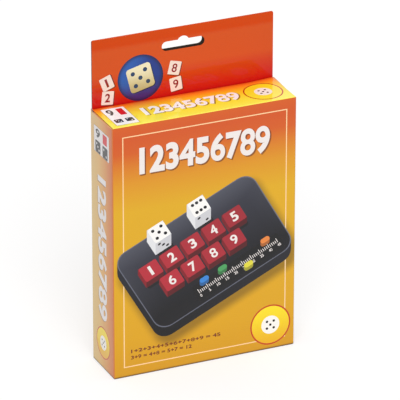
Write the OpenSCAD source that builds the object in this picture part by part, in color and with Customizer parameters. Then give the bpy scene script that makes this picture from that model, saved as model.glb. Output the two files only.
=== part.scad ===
// Travel shut-the-box game in its folding-board carton.
// The carton stands on its base with the front panel towards -Y. Its lid is hinged
// along the front top edge and tucks in behind, in front of a two-ply hang tab.
// The game stands inside on its left end, tiles facing the front panel.
// Origin: middle of the carton's footprint, on the surface that it stands on.

/* [Carton] */
// Width of the carton across its front
carton_w = 138; // [130:1:160]
// Depth of the carton from front to back
carton_d = 38; // [38:0.5:46]
// Height of the carton's body, up to the lid
carton_h = 190; // [180:1:210]
// Thickness of the folding board
board = 0.5; // [0.4:0.05:0.6]
// Radius of the upright folds, outside
fold_r = 0.6; // [0.5:0.1:1.2]
// Width of the glued seam flap inside the left panel
seam_w = 14; // [8:1:18]
// Length of the dust flaps in the glued bottom
bottom_dust_l = 30; // [26:1:40]
// Play between loose pieces in the carton
card_gap = 0.2; // [0.1:0.05:0.3]

/* [Hang tab] */
// Height of the hang tab above the lid
tab_h = 50; // [40:1:60]
// Step from the carton's side in to the tab's side
tab_inset = 1; // [0.5:0.5:4]
// Radius of the tab's top corners
tab_corner_r = 1.5; // [0.6:0.1:8]
// Length of the front ply that is glued down inside the back panel
tab_foot = 12; // [6:1:14]
// Width of the hang slot
slot_w = 32; // [26:1:36]
// Height of the hang slot
slot_h = 6.8; // [5:0.2:8]
// Radius of the hook bump in the middle of the slot
bump_r = 4.6; // [3.6:0.2:6]
// Distance of the slot's middle line below the top of the tab
slot_drop = 13; // [11:0.5:20]

/* [Lid and dust flaps] */
// Gap between the lid's sides and the carton's sides
lid_inset = 0.6; // [0.3:0.1:1.5]
// Gap between the lid's back edge and the hang tab
lid_back_gap = 0.4; // [0.3:0.1:0.8]
// Length of the tongue that tucks in
tongue_l = 12; // [8:0.5:13]
// Inward lean of the tongue, in degrees
tongue_lean = 9; // [9:1:14]
// Radius of the tongue's lower corners
tongue_r = 6; // [3:0.5:7.5]
// Radius of the lid's two free back corners
lid_corner_r = 2; // [1:0.5:4]
// Gap between a dust flap's tip and the path of the game
flap_pass = 0.5; // [0.3:0.1:3]
// Slope of a dust flap's front edge, across over along
flap_taper = 0.6; // [0.56:0.02:0.8]
// Setback of a dust flap's front edge at its fold
flap_front_gap = 1; // [0.8:0.1:2]
// Setback of a dust flap's back edge from the tucked tongue
flap_back_gap = 1.8; // [1.2:0.1:3]

/* [Insert and leaflet] */
// Height of the card insert that centres the game
insert_h = 150; // [120:1:160]
// Reach of the insert's double lip over the case's edge
lip_cover = 2.5; // [1.5:0.25:4]
// Play between the insert and the game case
case_play = 0.6; // [0.4:0.1:1]
// Width of the folded rules leaflet
leaflet_w = 86; // [70:1:90]
// Height of the folded rules leaflet
leaflet_h = 140; // [100:1:150]
// Thickness of one leaf of the rules leaflet
leaf_t = 0.35; // [0.2:0.05:0.4]

/* [Game case] */
// Length of the game case along its tile row
case_l = 148; // [144:0.5:150]
// Width of the game case
case_w = 92; // [90:0.5:96]
// Height of the case at the crown of its arch
crown_h = 21; // [20.5:0.1:21.5]
// Height of the case at its long edges
edge_h = 6; // [5:0.25:7]
// Wall of the moulded case
wall = 1.8; // [1.4:0.1:2.2]
// Radius of the case's upright corners
case_r = 3; // [1:0.5:5]
// Thickness of the flat base plate
base_t = 2; // [1.6:0.1:2.2]
// Gap round pieces that are let into the case
seat_gap = 0.15; // [0.1:0.01:0.25]
// Distance of the screw posts from the case's ends
post_in_x = 9; // [8:0.5:12]
// Distance of the screw posts from the case's long edges
post_in_y = 7; // [6.5:0.25:9]
// Radius of a screw post
post_r = 3; // [2.6:0.1:3.4]
// Radius of a screw's shank
screw_r = 0.95; // [0.8:0.05:1.2]
// Radius of a screw's head
screw_head_r = 2.1; // [1.9:0.1:2.4]
// Height of a screw's head
screw_head_h = 1.1; // [0.8:0.05:1.2]
// Length of a screw under its head
screw_l = 6; // [4.5:0.1:6.4]

/* [Tiles] */
// Number of tiles in the row
tile_count = 9; // [6:1:9]
// Distance from one tile to the next
tile_pitch = 13.3; // [12.5:0.1:13.8]
// Width of the rib between two tiles
rib_t = 0.7; // [0.5:0.05:0.9]
// Gap between a tile and the ribs beside it
tile_gap = 0.25; // [0.2:0.05:0.35]
// Length of a tile from its axle to its front
tile_l = 14.4; // [13.5:0.1:14.8]
// Thickness of a tile's plate
tile_t = 1.4; // [1.2:0.1:1.6]
// Radius of a tile's knuckle
knuckle_r = 1.6; // [1.5:0.05:1.7]
// Radius of the steel axle
axle_r = 0.75; // [0.6:0.05:0.9]
// Running clearance round the axle and the journals
run_gap = 0.05; // [0.03:0.01:0.08]
// Width of a tile's raised lip
lip_w = 3.2; // [2.6:0.1:3.6]
// Height of a tile's raised lip above the plate
lip_h = 1.6; // [1.2:0.1:2]
// Distance of the tile axle from the case's middle line
axle_y = 12; // [11:0.25:13]
// Height of the tile axle above the base
axle_z = 19; // [18.8:0.05:19.2]
// Depth of the number pockets under the shelf
pocket_deep = 3.5; // [2.5:0.1:4]
// Thickness of the number plate
number_t = 1.2; // [0.8:0.1:1.5]

/* [Score panel] */
// Length of the score plate
score_l = 120; // [110:1:124]
// Width of the score plate down its slope
score_v = 27; // [26:0.25:28]
// Thickness of the score plate
score_t = 1.6; // [1.2:0.1:2]
// Tilt of the score plate, in degrees
score_tilt = 16; // [15:0.5:17]
// Distance of the score plate's upper edge in front of the middle line
score_y = 8; // [7:0.25:9]
// Width of a groove
groove_w = 1.4; // [1.2:0.1:1.8]
// Distance of a groove's ends from the plate's ends
groove_in = 5; // [4:0.5:8]
// Side play of a slider's stem in its groove
slide_play = 0.15; // [0.1:0.01:0.2]
// Length of a slider's cap
cap_l = 8.6; // [7:0.2:10]
// Width of a slider's cap
cap_w = 3.8; // [3:0.1:4]
// Height of a slider's cap
cap_h = 2; // [1.4:0.1:2.4]
// Length of a slider's stem
stem_l = 6; // [4:0.2:6.8]

/* [Dice spindle] */
// Outside radius of a clear ball
ball_r = 11; // [10.5:0.1:11.2]
// Wall of a clear ball
ball_wall = 1; // [0.8:0.05:1.2]
// Reach of the glued rim beyond the ball
rim_reach = 0.8; // [0.5:0.1:0.9]
// Thickness of one half's rim
rim_t = 0.7; // [0.5:0.05:0.9]
// Gap round a ball in its well
well_gap = 0.5; // [0.4:0.05:0.6]
// Wall of the wells and of the trough
well_wall = 0.9; // [0.7:0.05:1]
// Distance from one ball to the other
ball_pitch = 49; // [44:1:54]
// Distance of the spindle from the case's middle line
spindle_y = 33; // [32:0.25:33.5]
// Height of the spindle above the base
spindle_z = 15.6; // [15.5:0.05:16]
// Radius of the grip roller
grip_r = 3.8; // [3.2:0.1:4]
// Radius of the necks through the balls
neck_r = 2.5; // [2:0.1:2.8]
// Radius of the end journals
journal_r = 2; // [1.5:0.1:2.4]
// Length of a bearing
bearing_l = 7; // [5:0.5:9]
// Radius of a bearing cap's dome
bearing_r = 5.4; // [4.5:0.1:6]
// Side of a die
die_s = 7.5; // [6.5:0.1:8]
// Radius of a die's pip
pip_r = 0.75; // [0.6:0.05:0.8]

/* [Hidden] */

$fn = 48;
eps = 0.01;
thin_gap = 0.1;

// Carton planes
front_y = -carton_d/2;
back_y = carton_d/2;
side_x = carton_w/2;
floor_z = 3*board;                        // three plies of the glued bottom
lid_back_y = back_y - 2*board - lid_back_gap;
flap_top = carton_h - board - card_gap;   // dust flaps lie just under the lid
flap_l = side_x - case_w/2 - flap_pass;
tab_w = carton_w - 2*tab_inset;
seam_lift = board + card_gap;             // room for the seam flap beside the insert

// The game's place: its base plane, behind it the leaflet and the insert
leaflet_t = 2*leaf_t + thin_gap;
insert_back_y = back_y - board - card_gap;
leaflet_y = insert_back_y - board - card_gap;
game_y = leaflet_y - leaflet_t - card_gap;
game_z = floor_z + thin_gap;

// Arch of the case: a cylinder through both long edges and the crown
sagitta = crown_h - edge_h;
arch_r = (pow(case_w/2, 2) + pow(sagitta, 2)) / (2*sagitta);
function arch_at(y) = crown_h - arch_r + sqrt(pow(arch_r, 2) - pow(y, 2));

// Tile row
tile_w = tile_pitch - rib_t - 2*tile_gap;
row_l = tile_count*tile_pitch;
row_x = (case_l - row_l)/2;
pocket_front = axle_y - tile_l + 2.2;
pocket_back = axle_y + knuckle_r + 0.6;
plate_low = knuckle_r - tile_t;           // underside of a tile's plate above its axle
shelf_z = axle_z + plate_low - 0.3;
number_z = shelf_z - pocket_deep;
tray_wall = 1.4;

// Score panel
score_x = (case_l - score_l)/2;
groove_at = [0.155, 0.32, 0.68, 0.845]*score_v;
groove_l = score_l - 2*groove_in;
stem_w = groove_w - 2*slide_play;
foot_h = 1;
foot_w = groove_w + 1.8;

// Spindle, measured outwards from a ball's centre
rim_r = ball_r + rim_reach;
well_r = rim_r + well_gap;
button_h = 0.8;
button_r = neck_r + 0.9;
inner_r = ball_r - ball_wall;
button_out = sqrt(pow(inner_r, 2) - pow(button_r, 2)) - thin_gap;
collar_at = ball_r - thin_gap;
collar_l = 1.6;
collar_r = journal_r + 1.2;
bearing_at = collar_at + collar_l + 0.6;
trough_r = grip_r + 1;
ball_at = [case_l/2 - ball_pitch/2, case_l/2 + ball_pitch/2];
die_rest = die_s/2 - button_out + button_h + 0.3;

board_gold = [0.89, 0.70, 0.23];
board_orange = [0.87, 0.40, 0.15];
board_grey = [0.80, 0.79, 0.76];
charcoal = [0.13, 0.13, 0.15];
jet = [0.06, 0.06, 0.07];
crimson = [0.62, 0.07, 0.13];
steel = [0.75, 0.76, 0.78];
clear = [0.85, 0.90, 0.95, 0.35];

// Shared shapes

// A rectangle with round corners, about its middle
module soft_square(w, d, r) {
    square([w - 2*r, d], center = true);
    square([w, d - 2*r], center = true);
    for (sx = [-1, 1], sy = [-1, 1])
        translate([sx*(w/2 - r), sy*(d/2 - r)]) circle(r);
}

// A cylinder along +X from x = from to x = to
module rod(r, from, to) {
    translate([from, 0, 0]) rotate([0, 90, 0]) cylinder(r = r, h = to - from);
}

// From the game's own frame to its place in the carton. In the game's frame X runs
// along the tile row, Y from the middle line to the dice and Z up from the base.
module stored() {
    translate([0, game_y, game_z]) rotate([90, -90, 0]) children();
}

// From the score plate's frame: X along it, Y down its slope, Z out of its face
module on_score() {
    translate([score_x, -score_y, shelf_z]) rotate([score_tilt, 0, 0])
        mirror([0, 1, 0]) children();
}

module at_spindle(x = 0) {
    translate([x, spindle_y, spindle_z]) children();
}

// Carton

// Front, sides and back in one wrap of board, closed by the seam flap
module carton_sleeve() {
    color(board_gold) union() {
        difference() {
            translate([0, 0, board]) linear_extrude(carton_h - board) difference() {
                soft_square(carton_w, carton_d, fold_r);
                square([carton_w - 2*board, carton_d - 2*board], center = true);
            }
            translate([-side_x - 1, front_y + board, flap_top - board])
                cube([carton_w + 2, carton_d - 2*board, carton_h]);
            translate([-side_x - 1, front_y - 1, carton_h - board])
                cube([carton_w + 2, board + 1, carton_h]);
        }
        seam_top = carton_h - tab_foot - 4;
        translate([board - side_x, back_y - board, floor_z + 1]) rotate([90, 0, 90])
            linear_extrude(board - thin_gap)
                polygon([[0, 0], [-seam_w, seam_w/2], [-seam_w, seam_top - seam_w/2],
                         [0, seam_top - floor_z - 1]]);
    }
}

// The back panel run on upwards and folded down double, with the hang slot
module hang_tab() {
    mid_z = carton_h + tab_h - slot_drop;
    color(board_orange) difference() {
        union() {
            intersection() {
                translate([0, back_y, carton_h + tab_h/2]) rotate([90, 0, 0])
                    linear_extrude(2*board) {
                        soft_square(tab_w, tab_h, tab_corner_r);
                        translate([-tab_w/2, -tab_h/2]) square([tab_w, tab_h/2]);
                    }
                translate([-side_x, back_y - board, 0]) {
                    translate([0, -board, 0])
                        cube([carton_w, 2*board, carton_h + tab_h - board]);
                    translate([0, 0, carton_h + tab_h - board]) rod(board, 0, carton_w);
                }
            }
            translate([seam_w - side_x + 1, back_y - 2*board, carton_h - tab_foot])
                cube([2*(side_x - seam_w - 1), board, tab_foot + eps]);
        }
        translate([0, back_y + 1, mid_z]) rotate([90, 0, 0]) linear_extrude(2*board + 2) {
            square([slot_w - slot_h, slot_h], center = true);
            for (s = [-1, 1]) translate([s*(slot_w - slot_h)/2, 0]) circle(slot_h/2);
            translate([0, slot_h/2 + 2.4 - bump_r]) circle(bump_r);
        }
    }
}

module bottom_outer_flap() {
    color(board_gold) linear_extrude(board) soft_square(carton_w, carton_d, fold_r);
}

module bottom_inner_flap() {
    inner_w = carton_w - 2*board - 1;
    inner_d = carton_d - 2*board - 4;
    color(board_grey) translate([0, back_y - board, board]) linear_extrude(board)
        polygon([[-inner_w/2, 0], [3 - inner_w/2, -inner_d],
                 [inner_w/2 - 3, -inner_d], [inner_w/2, 0]]);
}

// One dust flap of the glued bottom, on the left
module bottom_dust_flap() {
    half_d = carton_d/2 - board - thin_gap;
    color(board_grey) translate([board - side_x, 0, 2*board]) linear_extrude(board)
        polygon([[0, -half_d], [bottom_dust_l, 8 - half_d],
                 [bottom_dust_l, half_d - 3], [0, half_d]]);
}

// Top panel, hinged along the front edge, with the tongue that tucks in behind
module lid() {
    lid_w = carton_w - 2*lid_inset;
    tongue_w = lid_w - 2*lid_corner_r;
    fold_y = lid_back_y - board;
    lid_l = fold_y - front_y;
    color(board_orange) union() {
        translate([0, front_y, carton_h - board]) linear_extrude(board) {
            translate([-lid_w/2, 0]) square([lid_w, lid_l - lid_corner_r]);
            translate([-tongue_w/2, 0]) square([tongue_w, lid_l]);
            for (s = [-1, 1]) translate([s*tongue_w/2, lid_l - lid_corner_r])
                circle(lid_corner_r);
        }
        translate([0, fold_y, carton_h - board]) {
            rod(board, -tongue_w/2, tongue_w/2);
            rotate([-tongue_lean, 0, 0]) translate([0, board, 0]) rotate([90, 0, 0])
                linear_extrude(board) {
                    translate([-tongue_w/2, tongue_r - tongue_l])
                        square([tongue_w, tongue_l - tongue_r]);
                    translate([tongue_r - tongue_w/2, -tongue_l])
                        square([tongue_w - 2*tongue_r, tongue_l]);
                    for (s = [-1, 1])
                        translate([s*(tongue_w/2 - tongue_r), tongue_r - tongue_l])
                            circle(tongue_r);
                }
        }
    }
}

// One dust flap under the lid, on the left
module dust_flap() {
    root_front = front_y + flap_front_gap;
    root_back = lid_back_y - tongue_l*sin(tongue_lean) - flap_back_gap;
    color(board_grey) translate([-side_x, 0, flap_top - board]) linear_extrude(board)
        polygon([[0, root_front], [flap_l, root_front + flap_taper*flap_l],
                 [flap_l, root_back - 4], [flap_l - 3, root_back], [0, root_back]]);
}

// Folded card that centres the game: each flank turns forward along the carton's
// side, in across its front to a double lip over the case's edge, and back
module card_insert() {
    outer = side_x - board - seam_lift;
    slot = case_w/2 + case_play;
    lip_x = case_w/2 - lip_cover;
    lip_y = game_y - arch_at(lip_x) - case_play;
    front = lip_y - 2*board;
    color(board_grey) translate([0, 0, game_z]) linear_extrude(insert_h) {
        translate([-outer, insert_back_y - board]) square([2*outer, board]);
        for (s = [0, 1]) mirror([s, 0]) {
            translate([outer - board, front]) square([board, insert_back_y - front]);
            translate([lip_x, front]) square([outer - lip_x, board]);
            translate([lip_x, front + board - eps])
                square([slot + board - lip_x, board + eps]);
            translate([slot, front + board])
                square([board, leaflet_y - front - board - thin_gap]);
        }
    }
}

// One sheet folded once, its fold to the left
module rules_leaflet() {
    half = leaflet_t/2;
    color("white") translate([-leaflet_w/2, leaflet_y - half, game_z]) {
        linear_extrude(leaflet_h) difference() {
            union() {
                translate([half, -half]) square([leaflet_w - half, leaflet_t]);
                translate([half, 0]) circle(half);
            }
            translate([half, -thin_gap/2]) square([leaflet_w, thin_gap]);
        }
    }
}

// Game case

// Solid under the arch, with round upright corners
module arch_block(l, w, r, crown, corner) {
    intersection() {
        translate([l/2, 0, -1]) linear_extrude(crown + 2) soft_square(l, w, corner);
        translate([0, 0, crown - r]) rotate([0, 90, 0])
            cylinder(r = r, h = l, $fn = 180);
    }
}

module case_outside() {
    intersection() {
        arch_block(case_l, case_w, arch_r, crown_h, case_r);
        translate([-1, -case_w, 0]) cube([case_l + 2, 2*case_w, crown_h + 1]);
    }
}

module case_inside() {
    translate([wall, 0, 0])
        arch_block(case_l - 2*wall, case_w - 2*wall, arch_r - wall, crown_h - wall,
                   max(case_r - wall, 0.2));
}

post_at = [
    for (x = [post_in_x, case_l/2, case_l - post_in_x], s = [-1, 1])
        [x, s*(case_w/2 - post_in_y)]
];

// Everything that stands in from the shell: tile tray, score tray, wells, posts
module case_inner_walls() {
    intersection() {
        case_outside();
        union() {
            translate([row_x - tray_wall, pocket_front - tray_wall, number_z - number_t])
                cube([row_l + 2*tray_wall, pocket_back - pocket_front + 2*tray_wall,
                      crown_h]);
            on_score() translate([-tray_wall, -tray_wall, -2*score_t])
                cube([score_l + 2*tray_wall, score_v + 2*tray_wall, crown_h]);
            for (x = ball_at)
                translate([x, spindle_y, spindle_z - well_r - well_wall])
                    cylinder(r = well_r + well_wall, h = crown_h);
            translate([ball_at[0] - bearing_at, spindle_y - trough_r - well_wall,
                       spindle_z - trough_r - well_wall])
                cube([ball_pitch + 2*bearing_at, 2*(trough_r + well_wall), crown_h]);
            for (p = post_at) translate([p.x, p.y, base_t])
                cylinder(r = post_r, h = crown_h);
        }
    }
}

// Block under each end journal, up to the spindle's own height
module bearing_seats() {
    for (s = [0, 1]) translate([s*case_l, 0, 0]) mirror([s, 0, 0])
        translate([ball_at[0] - bearing_at - bearing_l, spindle_y - bearing_r,
                   spindle_z - bearing_r])
            cube([bearing_l, 2*bearing_r, bearing_r]);
}

// Tile pockets, from the number plate up, and the shelf that the lips lie over
module tile_cuts() {
    for (i = [0:tile_count - 1])
        translate([row_x + i*tile_pitch + rib_t/2, pocket_front, number_z])
            cube([tile_pitch - rib_t, pocket_back - pocket_front, crown_h]);
    translate([row_x - seat_gap, pocket_front - seat_gap, 0])
        cube([row_l + 2*seat_gap, pocket_back - pocket_front + 2*seat_gap, number_z]);
    translate([row_x - seat_gap, -score_y, shelf_z])
        cube([row_l + 2*seat_gap, score_y + pocket_back, crown_h]);
}

// Seat of the score plate and the opening under its grooves
module score_cuts() {
    on_score() {
        translate([-seat_gap, -seat_gap, -score_t])
            cube([score_l + 2*seat_gap, score_v + 2*seat_gap, crown_h]);
        translate([2, 2, -3*score_t]) cube([score_l - 4, score_v - 4, 3*score_t]);
    }
}

module spindle_cuts() {
    for (x = ball_at) at_spindle(x) sphere(well_r, $fn = 72);
    at_spindle() {
        rod(trough_r, ball_at[0] - bearing_at, ball_at[1] + bearing_at);
        rod(journal_r + run_gap, ball_at[0] - bearing_at - bearing_l + 1,
            ball_at[1] + bearing_at + bearing_l - 1);
    }
    // open above the spindle's height, so that it drops in from above
    translate([ball_at[0] - bearing_at, spindle_y - trough_r, spindle_z])
        cube([ball_pitch + 2*bearing_at, 2*trough_r, crown_h]);
    // flat seats that the bearing caps are glued to
    translate([ball_at[0] - bearing_at - bearing_l - seat_gap,
               spindle_y - bearing_r - seat_gap, spindle_z])
        cube([ball_pitch + 2*(bearing_at + bearing_l + seat_gap),
              2*(bearing_r + seat_gap), crown_h]);
}

// Ears between the tiles that carry the axle
module axle_ears() {
    for (i = [0:tile_count])
        translate([row_x + i*tile_pitch - rib_t/2, axle_y, axle_z]) {
            rod(knuckle_r, 0, rib_t);
            translate([0, -knuckle_r, shelf_z - axle_z - 1])
                cube([rib_t, 2*knuckle_r, axle_z - shelf_z + 1]);
        }
}

module case_top() {
    color(charcoal) difference() {
        union() {
            difference() {
                union() {
                    difference() {
                        case_outside();
                        case_inside();
                    }
                    case_inner_walls();
                    bearing_seats();
                }
                tile_cuts();
                score_cuts();
                spindle_cuts();
            }
            axle_ears();
        }
        translate([0, axle_y, axle_z])
            rod(axle_r + run_gap, row_x - rib_t/2 - eps, row_x + row_l + rib_t/2 + eps);
        for (p = post_at) translate([p.x, p.y, base_t - eps])
            cylinder(r = screw_r + run_gap, h = screw_l);
    }
}

module case_base() {
    plate_l = case_l - 2*wall - 2*seat_gap;
    plate_w = case_w - 2*wall - 2*seat_gap;
    color(charcoal) difference() {
        translate([case_l/2, 0, 0]) linear_extrude(base_t)
            soft_square(plate_l, plate_w, max(case_r - wall, 0.2));
        for (p = post_at) translate([p.x, p.y, 0]) {
            translate([0, 0, -1]) cylinder(r = screw_head_r + 0.3, h = screw_head_h + 1);
            cylinder(r = screw_r + run_gap, h = base_t + 1);
        }
    }
}

module case_screws() {
    color(steel) for (p = post_at) translate([p.x, p.y, 0]) {
        difference() {
            cylinder(r = screw_head_r, h = screw_head_h);
            for (a = [0, 90]) rotate([0, 0, a])
                translate([-1.3, -0.25, -eps]) cube([2.6, 0.5, 0.6]);
        }
        cylinder(r = screw_r, h = screw_head_h + screw_l - 1);
    }
}

module number_plate() {
    color(jet) translate([row_x, pocket_front, number_z - number_t])
        cube([row_l, pocket_back - pocket_front, number_t]);
}

module score_plate() {
    color(jet) on_score() translate([0, 0, -score_t]) linear_extrude(score_t)
        difference() {
            square([score_l, score_v]);
            for (v = groove_at) {
                translate([groove_in, v - groove_w/2]) square([groove_l, groove_w]);
            }
        }
}

module tile_axle() {
    color(steel) translate([0, axle_y, axle_z])
        rod(axle_r, row_x - rib_t/2, row_x + row_l + rib_t/2);
}

// Tile i of the row: a knuckle on the axle, a flat plate and a raised lip in front
module tile(i) {
    x0 = row_x + i*tile_pitch + rib_t/2 + tile_gap;
    plate_top = knuckle_r;
    lip_r = lip_w/2;
    color(crimson) translate([x0, axle_y, axle_z]) rotate([90, 0, 90])
        linear_extrude(tile_w) difference() {
            union() {
                circle(knuckle_r);
                translate([lip_r - tile_l, plate_low]) square([tile_l - lip_r, tile_t]);
                translate([-tile_l, plate_low])
                    square([lip_w, tile_t + lip_h - lip_r]);
                translate([lip_r - tile_l, plate_top + lip_h - lip_r]) circle(lip_r);
            }
            circle(axle_r + run_gap);
        }
}

// A score slider in groove i: cap above the plate, stem through it, foot below
module slider(i, tint) {
    stem_x = groove_in + slide_play;
    mid_x = stem_x + stem_l/2;
    color(tint) on_score() translate([mid_x, groove_at[i], 0]) {
        translate([0, 0, card_gap]) {
            linear_extrude(cap_h - 0.6) slider_outline(cap_l, cap_w);
            linear_extrude(cap_h) slider_outline(cap_l - 1.2, cap_w - 1.2);
        }
        translate([-stem_l/2, -stem_w/2, -score_t - card_gap - foot_h/2])
            cube([stem_l, stem_w, score_t + 2*card_gap + foot_h/2]);
        translate([-stem_l/2, -foot_w/2, -score_t - card_gap - foot_h])
            cube([stem_l, foot_w, foot_h]);
    }
}

module slider_outline(l, w) {
    square([l - w, w], center = true);
    for (s = [-1, 1]) translate([s*(l - w)/2, 0]) circle(w/2);
}

// Dice spindle

// Neck through a ball's wall and the button that the two halves close on,
// pointing along +X from the collar back towards the ball's centre
module ball_plug() {
    rod(neck_r, button_out - eps, collar_at + eps);
    rod(button_r, button_out - button_h, button_out);
}

// Roller between the balls, turned with the thumb
module grip_roller() {
    half = ball_pitch/2;
    color(jet) at_spindle(case_l/2) union() {
        for (s = [0, 1]) mirror([s, 0, 0]) {
            translate([half, 0, 0]) mirror([1, 0, 0]) ball_plug();
            rod(grip_r, half - collar_at - 1.6, half - collar_at);
        }
        difference() {
            rod(grip_r - 0.5, 1.6 - half + collar_at, half - collar_at - 1.6);
            for (a = [0:30:330]) rotate([a, 0, 0]) translate([0, 0, grip_r - 0.2])
                rod(0.7, 4 - half + collar_at, half - collar_at - 4);
        }
    }
}

// Stub outside a ball, with the journal that turns in the bearing
module end_stub() {
    color(jet) mirror([1, 0, 0]) union() {
        ball_plug();
        rod(collar_r, collar_at, collar_at + collar_l);
        rod(journal_r, collar_at, bearing_at + bearing_l - 1.3);
    }
}

// One half of a clear ball: dome, glued rim and half holes at its poles
module ball_half() {
    color(clear) difference() {
        union() {
            sphere(ball_r, $fn = 72);
            cylinder(r = rim_r, h = rim_t);
        }
        sphere(inner_r, $fn = 72);
        rod(neck_r + run_gap, -rim_r - 1, rim_r + 1);
        translate([-2*ball_r, -2*ball_r, -4*ball_r]) cube(4*ball_r);
        for (s = [0, 1]) mirror([s, 0, 0])
            rod(collar_r + 1.2, collar_at - 0.15, 2*ball_r);
    }
}

// Dome over an end journal, on the seat moulded into the case
module bearing_cap() {
    from = -bearing_at - bearing_l;
    color(jet) difference() {
        intersection() {
            rod(bearing_r, from, -bearing_at);
            translate([-bearing_at - 0.3*bearing_l, 0, 0]) sphere(bearing_r + 0.9);
            translate([from, -bearing_r, 0]) cube([bearing_l, 2*bearing_r, bearing_r]);
        }
        rod(journal_r + run_gap, from + 1, -bearing_at + 1);
    }
}

pips = [
    [[0, 0]],
    [[-1, -1], [1, 1]],
    [[-1, 1], [0, 0], [1, -1]],
    [[-1, -1], [-1, 1], [1, -1], [1, 1]],
    [[-1, -1], [-1, 1], [0, 0], [1, -1], [1, 1]],
    [[-1, -1], [-1, 0], [-1, 1], [1, -1], [1, 0], [1, 1]]
];
die_faces = [[0, 0, 0], [90, 0, 0], [0, 90, 0], [0, -90, 0], [-90, 0, 0], [180, 0, 0]];

// A die with ball-turned corners and a dimple for each pip
module die() {
    color("white") difference() {
        intersection() {
            cube(die_s, center = true);
            sphere(0.76*die_s);
        }
        for (f = [0:5]) rotate(die_faces[f]) for (p = pips[f])
            translate([p.x*die_s/4, p.y*die_s/4, die_s/2 + 0.6*pip_r]) sphere(pip_r, $fn = 16);
    }
}

carton_sleeve();
hang_tab();
bottom_outer_flap();
bottom_inner_flap();
bottom_dust_flap();  // bottom_dust_flap_left
mirror([1, 0, 0]) bottom_dust_flap();  // bottom_dust_flap_right
lid();
dust_flap();  // dust_flap_left
mirror([1, 0, 0]) dust_flap();  // dust_flap_right
card_insert();
rules_leaflet();
stored() case_top();
stored() case_base();
stored() case_screws();
stored() number_plate();
stored() score_plate();
stored() tile_axle();
stored() tile(0);  // tile_1
stored() tile(1);  // tile_2
stored() tile(2);  // tile_3
stored() tile(3);  // tile_4
stored() tile(4);  // tile_5
stored() tile(5);  // tile_6
stored() tile(6);  // tile_7
stored() tile(7);  // tile_8
stored() tile(8);  // tile_9
stored() slider(0, "dodgerblue");  // slider_blue
stored() slider(1, "mediumseagreen");  // slider_green
stored() slider(2, "gold");  // slider_yellow
stored() slider(3, "darkorange");  // slider_orange
stored() grip_roller();
stored() at_spindle(ball_at[0]) end_stub();  // end_stub_low
stored() at_spindle(ball_at[1]) mirror([1, 0, 0]) end_stub();  // end_stub_high
stored() at_spindle(ball_at[0]) ball_half();  // ball_low_front
stored() at_spindle(ball_at[0]) mirror([0, 0, 1]) ball_half();  // ball_low_back
stored() at_spindle(ball_at[1]) ball_half();  // ball_high_front
stored() at_spindle(ball_at[1]) mirror([0, 0, 1]) ball_half();  // ball_high_back
stored() at_spindle(ball_at[0]) bearing_cap();  // bearing_cap_low
stored() at_spindle(ball_at[1]) mirror([1, 0, 0]) bearing_cap();  // bearing_cap_high
stored() at_spindle(ball_at[0] + die_rest) die();  // die_low
stored() at_spindle(ball_at[1] + die_rest) die();  // die_high
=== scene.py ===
# Travel shut-the-box game in its printed carton with a hang tab.
from functools import cache, partial
from itertools import accumulate
from math import copysign, cos, dist, hypot, pi, radians, sin, sqrt

import bmesh
import bpy
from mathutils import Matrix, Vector
from mathutils.geometry import delaunay_2d_cdt


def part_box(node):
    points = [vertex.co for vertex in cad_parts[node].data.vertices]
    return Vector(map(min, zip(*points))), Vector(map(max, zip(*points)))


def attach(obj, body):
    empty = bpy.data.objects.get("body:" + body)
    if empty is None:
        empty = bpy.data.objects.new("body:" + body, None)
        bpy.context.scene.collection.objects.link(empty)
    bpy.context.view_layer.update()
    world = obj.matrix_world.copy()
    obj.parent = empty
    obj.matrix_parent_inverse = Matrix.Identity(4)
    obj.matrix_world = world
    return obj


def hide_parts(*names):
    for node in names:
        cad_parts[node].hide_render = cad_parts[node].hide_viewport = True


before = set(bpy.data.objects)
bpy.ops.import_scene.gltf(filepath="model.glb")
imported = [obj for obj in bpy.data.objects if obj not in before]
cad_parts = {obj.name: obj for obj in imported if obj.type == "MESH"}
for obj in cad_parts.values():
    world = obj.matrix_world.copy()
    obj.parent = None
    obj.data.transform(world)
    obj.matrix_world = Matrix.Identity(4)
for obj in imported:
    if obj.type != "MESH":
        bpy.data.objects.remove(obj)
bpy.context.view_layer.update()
scene = bpy.context.scene
scene.view_settings.view_transform = "Standard"
MM = 0.001


# ---- Camera
# A long lens, level with a buyer's eye, looking down on the carton from its left front.
# Its place is in metres, in the carton's own frame.
lens_mm = 373.7
eye_place = (-1.0664, -2.3934, 1.3039)
eye_azimuth, eye_elevation, eye_roll = map(radians, (-24.086, 24.376, -0.052))


def given(thing, **settings):
    """Sets a thing's settings by their names."""
    for name, value in settings.items():
        setattr(thing, name, value)
    return thing


def in_scene(name, data, **settings):
    """A new object that stands in the scene."""
    made = bpy.data.objects.new(name, data)
    scene.collection.objects.link(made)
    return given(made, **settings)


eye_data = given(bpy.data.cameras.new("eye"), lens=lens_mm, clip_end=20)
scene.camera = in_scene("eye", eye_data, location=eye_place,
                        rotation_euler=(pi / 2 - eye_elevation, eye_roll, eye_azimuth))


# ---- Studio
# A white room with one wide soft lamp, at a level where an ink looks as it is mixed.
# The floor is white card that keeps the carton's shadow.
def feed(node, values):
    """Gives a node's inputs a number, an ink or the output of another node."""
    for at, value in values.items():
        socket = node.inputs[at]
        if isinstance(value, bpy.types.NodeSocket):
            node.id_data.links.new(value, socket)
        else:
            socket.default_value = (*value, 1) if socket.type == "RGBA" else value
    return node


def add_node(tree, kind, values={}, **options):
    """A new node, with its options and what feeds it. Shader nodes go by their short names."""
    node = tree.nodes.new(kind if "Node" in kind else "ShaderNode" + kind)
    return feed(given(node, **options), values)


def worked(tree, operation, *values):
    """The result of a Math node over outputs and numbers."""
    return add_node(tree, "Math", dict(enumerate(values)), operation=operation).outputs[0]


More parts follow.
